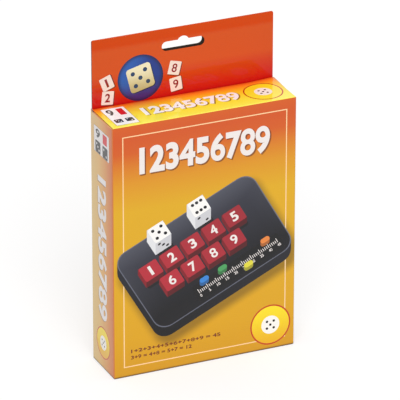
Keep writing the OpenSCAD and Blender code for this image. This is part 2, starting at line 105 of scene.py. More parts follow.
def new_finish(name):
    """A material, its node tree and its Principled shader."""
    finish = bpy.data.materials.new(name)
    finish.use_nodes = True
    return finish, finish.node_tree, finish.node_tree.nodes["Principled BSDF"]


def seen_directly(tree):
    """1 for what the eye, a gloss or a clear plastic sees, 0 for light that falls on things."""
    path = add_node(tree, "LightPath").outputs
    seen = worked(tree, "MAXIMUM", path["Is Camera Ray"], path["Is Glossy Ray"])
    return worked(tree, "MAXIMUM", seen, path["Is Transmission Ray"])


white = (1, 1, 1)
room_level, lamp_level, lamp_spread, lamp_turn = 0.66, 1.9, 50, (52, 0, -20)
room = bpy.data.worlds.new("room")
scene.world = room
room.use_nodes = True
walls = room.node_tree
wall_light = feed(walls.nodes["Background"], {"Color": white, "Strength": room_level})
wall_seen = add_node(walls, "Background", {"Color": white})
shares = (seen_directly(walls), wall_light.outputs[0], wall_seen.outputs[0])
wall_mix = add_node(walls, "MixShader", dict(enumerate(shares)))
feed(walls.nodes["World Output"], {"Surface": wall_mix.outputs[0]})

lamp_data = bpy.data.lights.new("lamp", "SUN")
in_scene("lamp", given(lamp_data, energy=lamp_level, angle=radians(lamp_spread)),
         rotation_euler=[*map(radians, lamp_turn)])

floor_half, floor_tint, floor_glow = 4.0, (0.5, 0.5, 0.5), 0.52
floor_mesh = bpy.data.meshes.new("floor")
floor_mesh.from_pydata([(x * floor_half, y * floor_half, 0) for x, y in
                        ((-1, -1), (1, -1), (1, 1), (-1, 1))], [], [(0, 1, 2, 3)])
floor = in_scene("floor", floor_mesh)
white_card, tree, shader = new_finish("white_card_floor")
glow = worked(tree, "MULTIPLY", seen_directly(tree), floor_glow)
feed(shader, {"Base Color": floor_tint, "Roughness": 1.0, "Specular IOR Level": 0.0,
              "Emission Color": white, "Emission Strength": glow})
floor_mesh.materials.append(white_card)


# ---- Folding board and its inks
# Grey-backed board, offset printed and gloss varnished on its outer face. The inks are kept
# as a colour on each corner of a face, so that a tint can fade across a panel.
def tone(red, green, blue):
    """An ink in display steps of 0 to 255, as the linear colour that the shaders use."""
    steps = [step / 255 for step in (red, green, blue)]
    return tuple(s / 12.92 if s <= 0.04045 else ((s + 0.055) / 1.055) ** 2.4 for s in steps)


def fade(*stops):
    """Stops of a fade: a place, then an ink's red, green and blue."""
    return [(at, tone(*ink)) for at, *ink in stops]


def mixed(first, second, share):
    return tuple(a + (b - a) * share for a, b in zip(first, second))


def eased(low, high, value):
    """0 below low, 1 above high, and a soft slope between."""
    t = min(max((value - low) / (high - low), 0), 1)
    return t * t * (3 - 2 * t)


def faded(stops, at):
    """The ink at a place along a fade."""
    for (low, first), (high, second) in zip(stops, stops[1:]):
        if at <= high:
            return mixed(first, second, min(max((at - low) / (high - low), 0), 1))
    return stops[-1][1]


def ranged(tree, value, low, high, to_low=0.0, to_high=1.0):
    """A value taken from one range to another, held at its ends."""
    spans = {"Value": value, "From Min": low, "From Max": high, "To Min": to_low, "To Max": to_high}
    return add_node(tree, "MapRange", spans).outputs["Result"]


def surface_noise(tree, scale, detail=2.0, stretch=(1, 1, 1)):
    """Noise that stays on a piece, in features per metre."""
    place = add_node(tree, "TexCoord").outputs["Object"]
    place = add_node(tree, "Mapping", {"Vector": place, "Scale": stretch}).outputs["Vector"]
    noise = add_node(tree, "TexNoise", {"Vector": place, "Scale": scale, "Detail": detail})
    return noise.outputs["Fac"]


def press_bump(tree, shader, height, depth, strength=1.0, below=None):
    """Height as relief, depth in metres, over an earlier relief if there is one."""
    bump = add_node(tree, "Bump", {"Height": height, "Distance": depth, "Strength": strength})
    if below:
        feed(bump, {"Normal": below})
    feed(shader, {"Normal": bump.outputs["Normal"]})
    return bump.outputs["Normal"]


def varnish(tree, shader):
    """Gloss press varnish: a thin clear coat over a board that is never quite flat."""
    wave = press_bump(tree, shader, surface_noise(tree, 24), 0.0006, 0.35)
    peel = press_bump(tree, shader, surface_noise(tree, 700), 0.00002, 0.5, wave)
    feed(shader, {"Roughness": 0.6, "Specular IOR Level": 0.1, "Coat Weight": 1.0,
                  "Coat Roughness": 0.06, "Coat IOR": 1.4, "Coat Normal": peel})


def speckled(tree, base, amount, scale):
    """An ink or an output with a fine uneven tint, as paper fibre and ink dots give."""
    shade = ranged(tree, surface_noise(tree, scale, 3.0), 0, 1, 1 - amount, 1 + amount)
    return add_node(tree, "VectorMath", {0: base, "Scale": shade}, operation="SCALE").outputs[0]


def corner_inks(tree, amount, scale):
    """The inks kept on the faces' corners, a little speckled."""
    inks = add_node(tree, "Attribute", attribute_name="ink")
    return speckled(tree, inks.outputs["Color"], amount, scale)


printed_board, tree, shader = new_finish("printed_board")
feed(shader, {"Base Color": corner_inks(tree, 0.05, 1800)})
varnish(tree, shader)


def uncoated_board(name, colour, fleck):
    """Bare board or paper: matt, with fibres that run along the sheet."""
    finish, tree, shader = new_finish(name)
    feed(shader, {"Base Color": speckled(tree, colour, fleck, 1400), "Roughness": 0.92,
                  "Specular IOR Level": 0.2})
    press_bump(tree, shader, surface_noise(tree, 900, 4.0, (1, 1, 0.25)), 0.00004, 0.6)
    return finish


grey_back = uncoated_board("grey_board_back", tone(196, 192, 184), 0.10)
# Cut edges are inked dark brown, partly the board's core and partly painted shade in the gaps beside
# the lid
shaded_cut_edge = uncoated_board("board_cut_edge_and_shade", tone(116, 64, 34), 0.16)


def in_mm(x, y, z):
    """A place that is given in millimetres."""
    return Vector((x * MM, y * MM, z * MM))


def inked(face, layer, inks):
    """Gives each corner of a face its ink."""
    for loop, ink in zip(face.loops, inks):
        loop[layer] = (*ink, 1)


def fitted(piece, body, node=None):
    """Rides a piece on its body, and hides the CAD solid that it stands for."""
    if node:
        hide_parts(node)
    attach(piece, body)
    return piece


def made_mesh(name, bm, finishes, smooth_below=35):
    """Turns a finished bmesh into an object whose soft edges are those under an angle."""
    mesh = bpy.data.meshes.new(name)
    bm.to_mesh(mesh)
    bm.free()
    for finish in finishes:
        mesh.materials.append(finish)
    if smooth_below:
        mesh.polygons.foreach_set("use_smooth", [True] * len(mesh.polygons))
        mesh.set_sharp_from_angle(angle=radians(smooth_below))
    return in_scene(name, mesh)


def pairs(ring):
    """Each item of a closed ring with the next one."""
    return zip(ring, ring[1:] + ring[:1])


def ring_area(ring):
    return sum(a[0] * b[1] - b[0] * a[1] for a, b in pairs(ring))


def grown(ring, by, sign):
    """A closed line moved outwards, its corners mitred."""
    outward = [(sign * (b[1] - a[1]) / dist(a, b), sign * (a[0] - b[0]) / dist(a, b))
               for a, b in pairs(ring)]
    moved = []
    for (x, y), (px, py), (qx, qy) in zip(ring, outward[-1:] + outward[:-1], outward):
        reach = by / max(1 + px * qx + py * qy, 0.3)
        moved.append((x + reach * (px + qx), y + reach * (py + qy)))
    return moved


def rounds(ring, x, y):
    """How often a closed line runs round a place."""
    count = 0
    for (ax, ay), (bx, by) in pairs(ring):
        if (ay <= y) != (by <= y) and ((bx - ax) * (y - ay) > (by - ay) * (x - ax)) == (by > ay):
            count += 1 if by > ay else -1
    return count


@cache
def figure_shapes(text, bold):
    """Plain figures as flat faces in a box of one unit: their points and their faces. Bold ones
    grow outwards and only a little into their counters, so that a 4 stays open."""
    curve = given(bpy.data.curves.new("figures", "FONT"), body=text, fill_mode="NONE",
                  resolution_u=6, space_character=1 + bold)
    font_object = bpy.data.objects.new("figures", curve)
    wire = bpy.data.meshes.new_from_object(font_object)
    joined = {tuple(sorted(edge.vertices)) for edge in wire.edges}
    rings = []
    for vert in wire.vertices:
        if (vert.index - 1, vert.index) not in joined:
            rings.append([])
        spot = tuple(vert.co.xy)
        if not rings[-1] or dist(spot, rings[-1][-1]) > 1e-5:
            rings[-1].append(spot)
    for ring in rings:
        if dist(ring[0], ring[-1]) < 1e-5:
            ring.pop()
    bpy.data.objects.remove(font_object)
    bpy.data.meshes.remove(wire)
    sign = copysign(1, ring_area(max(rings, key=lambda ring: abs(ring_area(ring)))))
    rings = [grown(ring, bold * (0.35 if ring_area(ring) * sign < 0 else 1), sign) for ring in rings]
    points = [Vector(spot) for ring in rings for spot in ring]
    edges = []
    for ring in rings:
        edges += pairs([*range(len(edges), len(edges) + len(ring))])
    points, _, faces, *_ = delaunay_2d_cdt(points, edges, [], 0, 1e-5, False)
    spans = [(ring, min(x for x, _ in ring), max(x for x, _ in ring)) for ring in rings]
    filled = []
    for face in faces:
        x, y = (sum(points[i][k] for i in face) / 3 for k in (0, 1))
        if sum(rounds(ring, x, y) for ring, low, high in spans if low < x < high):
            filled.append(tuple(face))
    low, high = ([end(p[k] for p in points) for k in (0, 1)] for end in (min, max))
    return [tuple((p[k] - low[k]) / (high[k] - low[k]) for k in (0, 1)) for p in points], filled


class Print:
    """Inks on one panel, each a film a few microns thick that lies over the one below.
    place(u, v, lift) gives a point of the panel, u from its left, v from its top, in mm."""

    film = 0.008
    step = 0.010

    def __init__(self, name, place):
        self.name, self.place = name, place
        self.bm = bmesh.new()
        self.ink = self.bm.loops.layers.float_color.new("ink")

    def faces(self, points, faces, ink, layer):
        """Faces over points (u, v), in one ink or in an ink that depends on the place."""
        verts = [self.bm.verts.new(self.place(u, v, layer * self.step)) for u, v in points]
        outward = self.place(*points[0], 1) - self.place(*points[0], 0)
        for face in faces:
            made = self.bm.faces.new([verts[i] for i in face])
            made.normal_update()
            if made.normal.dot(outward) < 0:
                made.normal_flip()
            inked(made, self.ink, [ink(*points[verts.index(loop.vert)]) if callable(ink) else ink
                                   for loop in made.loops])

    def shape(self, outline, ink, layer, rings=1):
        """A patch with a convex outline, as rings round its middle where the ink fades."""
        count = len(outline)
        if rings == 1:
            return self.faces(outline, [range(count)], ink, layer)
        middle = [sum(p[k] for p in outline) / count for k in (0, 1)]
        points = [middle] + [mixed(middle, p, (ring + 1) / rings) for ring in range(rings)
                             for p in outline]
        first = [*pairs([*range(1, count + 1)])]
        faces = [(0, i, j) for i, j in first]
        faces += [(i + k, i + k + count, j + k + count, j + k)
                  for k in range(0, (rings - 1) * count, count) for i, j in first]
        return self.faces(points, faces, ink, layer)

    def figures(self, text, ink, layer, left, top, wide, tall, bold=0.02, at=None):
        """Figures that fill a box of the panel, or a box that at(x, y) maps to it."""
        points, faces = figure_shapes(text, bold)
        spots = [(left + x * wide, top + (1 - y) * tall) for x, y in points]
        self.faces([at(*s) for s in spots] if at else spots, faces, ink, layer)

    def laid(self, body, slot, finish=printed_board):
        """Gives each film its thickness and rides the print on its panel's body."""
        piece = made_mesh(self.name, self.bm, [finish], 0)
        given(piece.modifiers.new("film", "SOLIDIFY"), thickness=self.film * MM, offset=-1)
        return fitted(piece, body)


def round_outline(cx, cy, half_w, half_h, radius, steps=5):
    """A rectangle with round corners, or a circle if the radius is its half width."""
    outline = []
    for turn, (sx, sy) in enumerate(((1, 1), (-1, 1), (-1, -1), (1, -1))):
        for k in range(steps + 1):
            angle = pi / 2 * (turn + k / steps)
            outline.append((cx + sx * (half_w - radius) + radius * cos(angle),
                            cy + sy * (half_h - radius) + radius * sin(angle)))
    return outline


def disc(cx, cy, radius, steps=5):
    return round_outline(cx, cy, radius, radius, radius, steps)


# ---- Carton sleeve
# Front, right, back and left panels in one wrap of board, glued inside the left fold. The
# folds are scored, so their varnish is a little cracked and pale. The front-right fold is inked
# greyer and darker, partly wear and partly painted shade.
box_low, box_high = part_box("carton_sleeve")
body_w, body_d = (box_high - box_low).x / MM, (box_high - box_low).y / MM
lid_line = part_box("lid")[1].z / MM
side_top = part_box("dust_flap_left")[0].z / MM
sleeve_low = box_low.z / MM
board_t, print_room, fold_r = 0.5, 0.1, 0.6
front_top = lid_line - board_t
half_w, half_d = body_w / 2 - print_room, body_d / 2 - print_room

front_fade = fade((0, 214, 92, 20), (0.055, 211, 84, 22), (0.11, 213, 92, 20),
                  (0.165, 218, 124, 22), (0.23, 222, 149, 20), (0.34, 224, 171, 16),
                  (0.62, 223, 168, 16), (0.85, 221, 163, 8), (1, 214, 152, 8))
# The sides fade paler towards the back: partly their print, partly a painted sheen of the gloss
# varnish
side_fade_and_sheen = fade((0, 226, 197, 132), (0.35, 230, 188, 112), (0.66, 223, 154, 78),
                 (0.8, 218, 128, 56), (0.9, 212, 112, 44), (1, 206, 96, 28))
# Fold inks: pale where the varnish has cracked; the front-right one is part wear, part painted shade
fold_wear_and_shade = {"front": tone(160, 142, 126), "right": tone(240, 205, 150),
              "back": tone(240, 205, 150), "left": tone(206, 138, 74)}
# The dark ink at the sleeve's foot and on the bottom flap's rim is painted contact shade
base_contact_shade, rim_ink = tone(58, 30, 12), tone(222, 158, 124)


def panel_ink(panel, u, v):
    """The tint of a panel under its pictures, u from its left as one looks at it."""
    tint = faded(front_fade, v / lid_line)
    if panel == "front":
        tint = mixed(tint, (0, 0, 0), picture_shadow(u, v))
    elif panel != "back":
        from_back = u / body_d if panel == "left" else 1 - u / body_d
        # The side fade carries painted sheen as well as print
        tint = mixed(faded(side_fade_and_sheen, from_back), tint, 0.12)
    # The last millimetre at the foot is darkened as painted contact shade
    return mixed(tint, base_contact_shade, 0.92 * eased(lid_line - 1.8, lid_line - 1.0, v))


# The front picture's board lies askew, and throws a soft shadow on the panel's tint
picture_at = (69, 105)
picture_turn, picture_lean = radians(25), radians(30)
board_half_a, board_half_b, board_corner, board_deep = 57, 36, 10, 7


def on_picture(a, b, h=0.0):
    """From the drawn board, a along it, b towards the reader and h up, to the panel."""
    return (picture_at[0] + a * cos(picture_turn) + b * sin(picture_lean),
            picture_at[1] - a * sin(picture_turn) + b * cos(picture_lean) - h)


def drawn(outline, h=0.0):
    """An outline that lies on the drawn board, or h above it."""
    return [on_picture(a, b, h) for a, b in outline]


def wrapped(points):
    """The convex outline round some points."""
    def chain(run):
        kept = []
        for p in run:
            while len(kept) > 1 and ring_area([kept[-2], kept[-1], p]) <= 0:
                kept.pop()
            kept.append(p)
        return kept[:-1]
    points = sorted(set(points))
    return chain(points) + chain(points[::-1])


board_rim = round_outline(0, 0, board_half_a, board_half_b, board_corner, 6)
board_outline = wrapped(drawn(board_rim) + drawn(board_rim, -board_deep))
shadow_from, shadow_to, shadow_shift, shadow_spread, shadow_dark = 30, 175, (2.5, 4.5), 6.0, 0.55


def picture_shadow(u, v):
    """How dark the drawn board's shadow is at a place of the front panel."""
    if not shadow_from < v < shadow_to:
        return 0
    u, v = u - shadow_shift[0], v - shadow_shift[1]
    off = max(
        ((bv - av) * (u - au) - (bu - au) * (v - av)) / hypot(bu - au, bv - av)
        for (au, av), (bu, bv) in pairs(board_outline))
    return shadow_dark * (1 - eased(-shadow_spread * 0.4, shadow_spread, off))


corner_steps = 6
top_of = {"front": front_top, "right": side_top, "back": lid_line, "left": side_top}
# Each panel's outward direction, how far out it stands and how far it reaches each way
panels = {"front": (0, -1, half_d, half_w), "right": (1, 0, half_w, half_d),
          "back": (0, 1, half_d, half_w), "left": (-1, 0, half_w, half_d)}


def on_panel(panel, u, v, lift):
    """A place on a panel, u from its left as one looks at it, v from its top."""
    out_x, out_y, out, half = panels[panel]
    out, along = out + lift, u - half - print_room
    return in_mm(out * out_x - along * out_y, out * out_y + along * out_x, lid_line - v)


def sleeve_stations():
    """Points round the sleeve, each with the panel that it is on and its place there."""
    stations = []
    for turn, (panel, count) in enumerate(zip(panels, (115, 20, 46, 24))):
        facing = (turn - 1) * pi / 2
        out_x, out_y, out, half = panels[panel]
        flat = half - fold_r
        for k in range(count + 1):
            run = 2 * flat * k / count
            x, y = out * out_x - (run - flat) * out_y, out * out_y + (run - flat) * out_x
            stations.append((x, y, facing, panel, fold_r + run, 0, top_of[panel]))
        cx, cy = x - fold_r * cos(facing), y - fold_r * sin(facing)
        for k in range(1, corner_steps):
            angle = facing + pi / 2 * k / corner_steps
            stations.append((cx + fold_r * cos(angle), cy + fold_r * sin(angle),
                             angle, panel, fold_r + run, 1 - abs(2 * k / corner_steps - 1),
                             front_top if panel == "left" else top_of[panel]))
    return stations


def build_sleeve():
    rows, stations = 158, sleeve_stations()
    count = len(stations)
    bm = bmesh.new()
    ink = bm.loops.layers.float_color.new("ink")
    outer = [[bm.verts.new(in_mm(x, y, sleeve_low + (top - sleeve_low) * k / rows))
              for x, y, *_, top in stations] for k in range(rows + 1)]
    inner = [[bm.verts.new(in_mm(x - board_t * cos(a), y - board_t * sin(a), z))
              for (x, y, a, *_), z in zip(stations, zs)]
             for zs in ([sleeve_low] * count, [station[-1] for station in stations])]
    # The folds take their inks; at the front-right fold that is partly painted shade
    tints = [[mixed(panel_ink(panel, u, lid_line - vert.co.z / MM), fold_wear_and_shade[panel], 0.6 * fold_ink_share)
              for vert, (*_, panel, u, fold_ink_share, _) in zip(row, stations)] for row in outer]
    columns = [*pairs([*range(count)])]
    for k in range(rows):
        for i, j in columns:
            corners = ((k, i), (k, j), (k + 1, j), (k + 1, i))
            face = bm.faces.new([outer[row][at] for row, at in corners])
            inked(face, ink, [tints[row][at] for row, at in corners])
    for i, j in columns:
        for ring in ((inner[1][i], inner[1][j], inner[0][j], inner[0][i]),
                     (outer[0][j], outer[0][i], inner[0][i], inner[0][j])):
            bm.faces.new(ring).material_index = 1
        rim = bm.faces.new((outer[rows][i], outer[rows][j], inner[1][j], inner[1][i]))
        inked(rim, ink, [rim_ink] * 4)
    return made_mesh("printed_sleeve", bm, [printed_board, grey_back])


fitted(build_sleeve(), "carton", "carton_sleeve")


# ---- Front panel print
# A pale hairline frame, white figures with a dropped shadow, a drawn game board with number
# blocks, dice and pegs, and a round seal. All of it is plain figures and common game signs.
title, title_bold = "123456789", 0.042
white_ink, frame_ink, shadow_ink = tone(240, 232, 228), tone(255, 216, 163), tone(96, 44, 12)
pip_spots = {2: [(-1, -1), (1, 1)], 3: [(-1, -1), (0, 0), (1, 1)],
             5: [(-1, -1), (1, -1), (0, 0), (-1, 1), (1, 1)],
             6: [(-1, -1), (0, -1), (1, -1), (-1, 1), (0, 1), (1, 1)]}


def hairline(sheet, left, top, right, bottom, wide=0.75):
    """A thin rectangular line as four strips that meet in mitres."""
    spots = [spot for inset in (wide, 0) for spot in
             ((left + inset, top + inset), (right - inset, top + inset),
              (right - inset, bottom - inset), (left + inset, bottom - inset))]
    sheet.faces(spots, [(i, j, j + 4, i + 4) for i, j in pairs([0, 1, 2, 3])], frame_ink, 0.5)


def shaded(under, share):
    """A shadow's ink over another ink that depends on the place."""
    return lambda u, v: mixed(under(u, v), shadow_ink, share)


def dropped_title(sheet, left, top, wide, tall, drop, ink, under):
    """The title's bold figures over their own shadow, which is darkest at its core."""
    for k, share in enumerate((0.28, 0.55, 0.8)):
        grow = drop * (0.5 - 0.28 * k)
        sheet.figures(title, shaded(under, share), 1 + k, left + drop - grow, top + drop - grow,
                      wide + 2 * grow, tall + 2 * grow, title_bold)
    sheet.figures(title, ink, 4, left, top, wide, tall, title_bold)


def pips(sheet, count, spot, pitch, radius, ink, layer, steps=5):
    """The pips of a die, spot(x, y) being a place of its face on the panel."""
    for x, y in pip_spots[count]:
        sheet.shape([spot(pitch * x + p, pitch * y + q) for p, q in disc(0, 0, radius, steps)],
                    ink, layer)


def seal(sheet, cu, cv, radius, layer, foot=tone(236, 176, 14)):
    """A round yellow seal: red rim, yellow field that fades to its foot, white middle, pips."""
    def field(u, v):
        return mixed(tone(252, 226, 30), foot, eased(-1, 1.2, (v - cv) / radius))
    for k, (share, ink, rings) in enumerate(((1, tone(196, 60, 14), 8), (0.93, field, 8),
                                             (0.45, tone(250, 247, 240), 4))):
        sheet.shape(disc(cu, cv, radius * share, 10), ink, layer + k, rings)
    pips(sheet, 5, lambda x, y: (cu + x, cv + y), 0.17 * radius, 0.062 * radius,
         tone(40, 30, 24), layer + 3)


front = Print("front_print", partial(on_panel, "front"))
hairline(front, 7.5, 8.0, 131.0, 182.5)
dropped_title(front, 20, 17.2, 98, 21, 0.9, white_ink, partial(panel_ink, "front"))
for line, (text, wide) in enumerate((("1+2+3+4+5+6+7+8+9 = 45", 68), ("3+9 = 4+8 = 5+7 = 12", 46))):
    front.figures(text, tone(112, 36, 4), 1, 13, 169.2 + 4.9 * line, wide, 2.9, 0.03)
seal(front, 119.5, 171, 15.5, 2)

slab_fade = fade((-36, 76, 78, 90), (-20, 46, 47, 59), (5, 22, 23, 34), (24, 5, 5, 12),
                 (36, 9, 9, 16))


def slab_top(u, v):
    """Charcoal that darkens from the drawn board's far edge to its near one."""
    b = ((v - picture_at[1]) * cos(picture_turn) + (u - picture_at[0]) * sin(picture_turn))
    return faded(slab_fade, b / cos(picture_turn - picture_lean))


near_black = tone(2, 2, 5)
front.shape(board_outline, lambda u, v: mixed(tone(30, 30, 40), near_black, eased(95, 165, v)), 1, 6)
front.shape(drawn(board_rim), tone(100, 103, 118), 2)
front.shape(drawn([(a * 0.988, b * 0.981) for a, b in board_rim]), slab_top, 3, 14)


def block(a0, b0, side, deep, high, inks, corner):
    """A drawn block: its shade on the board, then its side, its front and its top."""
    a1, b1 = a0 + side, b0 + deep
    foot = [(a, b) for a in (a0, a1) for b in (b0, b1)]
    middle = ((a0 + a1) / 2, (b0 + b1) / 2, side / 2, deep / 2)
    shade = [(a + 0.16 * high, b + 0.4 * high + 0.4) for a, b in round_outline(*middle, 2)]
    top_ink, front_ink, side_ink = inks
    front.shape(drawn(shade), tone(14, 13, 18), 4)
    front.shape(wrapped(drawn(foot) + drawn(foot, high)), side_ink, 5)
    front.shape(drawn([(a0, b1), (a1, b1)], high) + drawn([(a1, b1), (a0, b1)]), front_ink, 6)
    front.shape(drawn(round_outline(*middle, corner), high), top_ink, 7)


# Nine number blocks in two rows
block_side, block_deep, block_high, block_pitch = 14.4, 12.6, 4.2, 17.4
for number in range(9):
    row = number // 5
    a0, b0 = -48 + (number % 5 + 0.5 * row) * block_pitch, -14 + row * 16
    glow = 1.12 - 0.07 * (number % 5)
    reds = [tuple(c * glow for c in tone(*ink)) for ink in ((172, 36, 50), (84, 8, 18), (126, 18, 30))]
    block(a0, b0, block_side, block_deep, block_high, reds, 1.4)
    wide = 2.2 if number == 0 else 5.0
    front.figures(str(number + 1), white_ink, 8, a0 + (block_side - wide) / 2, b0 + 2.4, wide, 7.8,
                  0.03, lambda a, b: on_picture(a, b, block_high))

# Two dice behind them
cube, cube_high = 13, 8.6
for a0, b0, top_pips, front_pips in ((-30, -33, 5, 3), (3, -33, 6, 2)):
    block(a0, b0, cube, cube, cube_high, [tone(250, 248, 244), tone(206, 206, 210),
                                          tone(228, 228, 230)], 2)
    for count, spot in (
            (top_pips, lambda x, y: on_picture(a0 + cube / 2 + x, b0 + cube / 2 + y, cube_high)),
            (front_pips, lambda x, y: on_picture(a0 + cube / 2 + x, b0 + cube,
                                                 cube_high / 2 - y * cube_high / cube))):
        pips(front, count, spot, 3.4, 1.25, tone(28, 26, 30), 8, 4)

# A counting strip with a tick for each point and four pegs
front.shape(drawn(round_outline(14, 25.5, 36, 6.5, 1.5)), near_black, 4)
tick_pitch, tick_wide, tick_foot = 1.46, 0.5, 26.4
for tick in range(46):
    a = -19 + tick * tick_pitch
    b = tick_foot - (2.4 if tick % 5 else 3.6)
    right = a + tick_wide
    front.shape(drawn([(a, b), (right, b), (right, tick_foot), (a, tick_foot)]), white_ink, 5)
    if tick % 5 == 0:
        wide = 1.3 * len(str(tick))
        front.figures(str(tick), white_ink, 5, a + 0.2 - wide / 2, 27.4, wide, 2.4, 0.02, on_picture)
for a, b, peg in ((-12, 20.8, (52, 132, 214)), (3, 21.2, (72, 160, 92)), (20, 30.4, (226, 216, 62)),
                  (39, 21, (232, 134, 60))):
    base = round_outline(a, b, 3.6, 1.9, 1.9, 4)
    front.shape(wrapped(drawn(base) + drawn(base, 2.4)), mixed((0, 0, 0), tone(*peg), 0.5), 6)
    front.shape(drawn(base, 2.4), tone(*peg), 7)
front.laid("carton", "printed_gold_board")


# ---- Side and back print
# Both narrow panels carry a white label, figures that read down the panel and a small seal.
# The back panel repeats the hairline frame and the figures, with one sum a line.
def label(sheet, left, top, wide, tall, paper):
    """A white label: the count of figures, a red block and two small dice."""
    def part(x, y, half_x, half_y, corner):
        return round_outline(left + x * wide, top + y * tall, half_x, half_y, corner)
    black, half = tone(34, 32, 34), 0.17 * wide
    sheet.shape(part(0.5, 0.5, wide / 2 + 0.3, tall / 2 + 0.3, 0.8), tone(150, 104, 40), 1)
    sheet.shape(part(0.5, 0.5, wide / 2, tall / 2, 0.6), paper, 2)
    sheet.figures("9", black, 3, left + 0.12 * wide, top + 0.07 * tall, 0.28 * wide, 0.34 * tall,
                  0.045)
    sheet.shape(part(0.73, 0.26, 0.14 * wide, 0.19 * tall, 0.8), tone(216, 24, 40), 3)
    for across, count in ((0.26, 3), (0.74, 2)):
        sheet.shape(part(across, 0.76, half, half, 0.25 * half), black, 3)
        pips(sheet, count, lambda x, y: (left + across * wide + x, top + 0.76 * tall + y),
             0.46 * half, 0.2 * half, paper, 4, 3)


side_white = tone(236, 232, 232)
for panel in ("left", "right"):
    sheet = Print(panel + "_print", partial(on_panel, panel))
    label(sheet, 6, 9, 26, 19, side_white)
    under = partial(panel_ink, panel)
    for layer, drop, ink in ((1, 0.9, shaded(under, 0.3)), (2, 0.7, shaded(under, 0.6)),
                             (3, 0, side_white)):
        sheet.figures(title, ink, layer, 44 + drop, drop, 108, 15, title_bold,
                      lambda x, y: (26.5 - y, x))
    seal(sheet, 19, 170, 12, 1)
    sheet.laid("carton", "printed_gold_board")


rear = Print("back_print", partial(on_panel, "back"))
hairline(rear, 7.5, 8.0, 130.5, 182.5)
dropped_title(rear, 30, 18, 78, 15, 0.8, white_ink, partial(panel_ink, "back"))
for line, total in enumerate(range(2, 13)):
    first = max(1, total - 6)
    sums = "   ".join(f"{a} + {total - a} = {total}" for a in range(first, total // 2 + 1))
    rear.figures(sums, tone(112, 52, 6), 1, 24, 50 + 10.5 * line, 30 * (total // 2 + 1 - first), 3.6,
                 0.01)
rear.laid("carton", "printed_gold_board")


# ---- Glued bottom
# The outer bottom flap shows its print below, and its folds are inked dark as painted contact
# shade. The inner flap and the two dust flaps under it are bare board.
def build_bottom():
    bm = bmesh.new()
    ink = bm.loops.layers.float_color.new("ink")
    print_ink = tone(196, 128, 16)
    rings = []
    # The rim rings take the dark ink of painted contact shade, the underside its print
    for inset, z, tint in ((0.25, board_t, base_contact_shade), (0.25, 0.3, base_contact_shade),
                           (0.4, 0.08, base_contact_shade), (0.7, 0.0, print_ink)):
        outline = round_outline(0, 0, half_w - inset, half_d - inset, fold_r, 4)
        rings.append(([bm.verts.new(in_mm(x, y, z)) for x, y in outline], tint))
    for (upper, upper_ink), (lower, lower_ink) in zip(rings, rings[1:]):
        for i, j in pairs([*range(len(upper))]):
            face = bm.faces.new((lower[i], lower[j], upper[j], upper[i]))
            inked(face, ink, (lower_ink, lower_ink, upper_ink, upper_ink))
    bm.faces.new(rings[0][0]).material_index = 1
    inked(bm.faces.new(rings[-1][0][::-1]), ink, [print_ink] * len(outline))
    return made_mesh("printed_bottom", bm, [printed_board, grey_back])


fitted(build_bottom(), "carton", "bottom_outer_flap")


def dress(finish, *nodes):
    """CAD nodes that keep their shapes take their real finish."""
    for node in nodes:
        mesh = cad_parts[node].data
        mesh.materials.clear()
        mesh.materials.append(finish)


dress(grey_back, "bottom_inner_flap", "bottom_dust_flap_left", "bottom_dust_flap_right")


# ---- Hang tab
# Two plies of the back panel's board, folded over at the top and glued face to face. Each ply
# was punched while flat, so their hanger slots don't quite meet. The orange deepens to red.
tab_low, tab_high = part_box("hang_tab")
tab_seam = (tab_low.y + tab_high.y) / 2
tab_print_board, tree, shader = new_finish("printed_orange_board")
place, facing = (
    add_node(tree, "SeparateXYZ", {0: add_node(tree, source).outputs[output]}).outputs
    for source, output in (("TexCoord", "Object"), ("NewGeometry", "True Normal")))


def blended(tree, share, first, second):
    """One colour or the other by a share; each is an output or an ink."""
    return add_node(tree, "Mix", {"Factor": share, "A": first, "B": second},
                    data_type="RGBA").outputs["Result"]


tab_fade = fade((0, 188, 0, 0), (0.12, 195, 20, 0), (0.3, 200, 52, 0), (0.45, 206, 74, 0),
                (0.8, 207, 76, 0), (0.87, 206, 66, 0), (0.98, 205, 68, 0))
height = ranged(tree, place["Z"], tab_high.z - 0.05, tab_high.z)
tab_ramp = add_node(tree, "ValToRGB", {"Fac": height})
stops = tab_ramp.color_ramp.elements
while len(stops) < len(tab_fade):
    stops.new(0.5)
for stop, (at, ink) in zip(stops, tab_fade):
    stop.position, stop.color = at, (*ink, 1)

# A face that looks sideways below the top fold is the cut edge, inked dark as painted shade in
# the hanger slot, and darkest on the line where the plies meet
edge_on = worked(tree, "LESS_THAN", worked(tree, "ABSOLUTE", facing["Y"]), 0.5)
below_fold = worked(tree, "LESS_THAN", place["Z"], tab_high.z - 0.0006)
cut_face = worked(tree, "MULTIPLY", edge_on, below_fold)
seam_off = worked(tree, "ABSOLUTE", worked(tree, "SUBTRACT", place["Y"], tab_seam))
cut_edge_shade_ink = blended(tree, ranged(tree, seam_off, 0.00004, 0.00012), tone(24, 16, 12),
                  tone(78, 50, 38))
# The tab's back goes on from the back panel, so it keeps that panel's top ink
at_back = worked(tree, "GREATER_THAN", facing["Y"], 0.5)
tab_skin = blended(tree, at_back, tab_ramp.outputs["Color"], front_fade[0][1])
tab_skin = speckled(tree, blended(tree, cut_face, tab_skin, cut_edge_shade_ink), 0.05, 1800)
varnish(tree, shader)
tab_coat, worn_coat = 0.65, 0.25
coat_wear = ranged(tree, place["Z"], tab_high.z - 0.009, tab_high.z - 0.0065, tab_coat, worn_coat)
feed(shader, {"Base Color": tab_skin, "Coat Weight": tab_coat})
feed(shader, {"Coat Weight": coat_wear})
slot_off, glue_gap, tucked_in, touching = (size * MM for size in (1.6, 0.02, 0.35, 0.01))
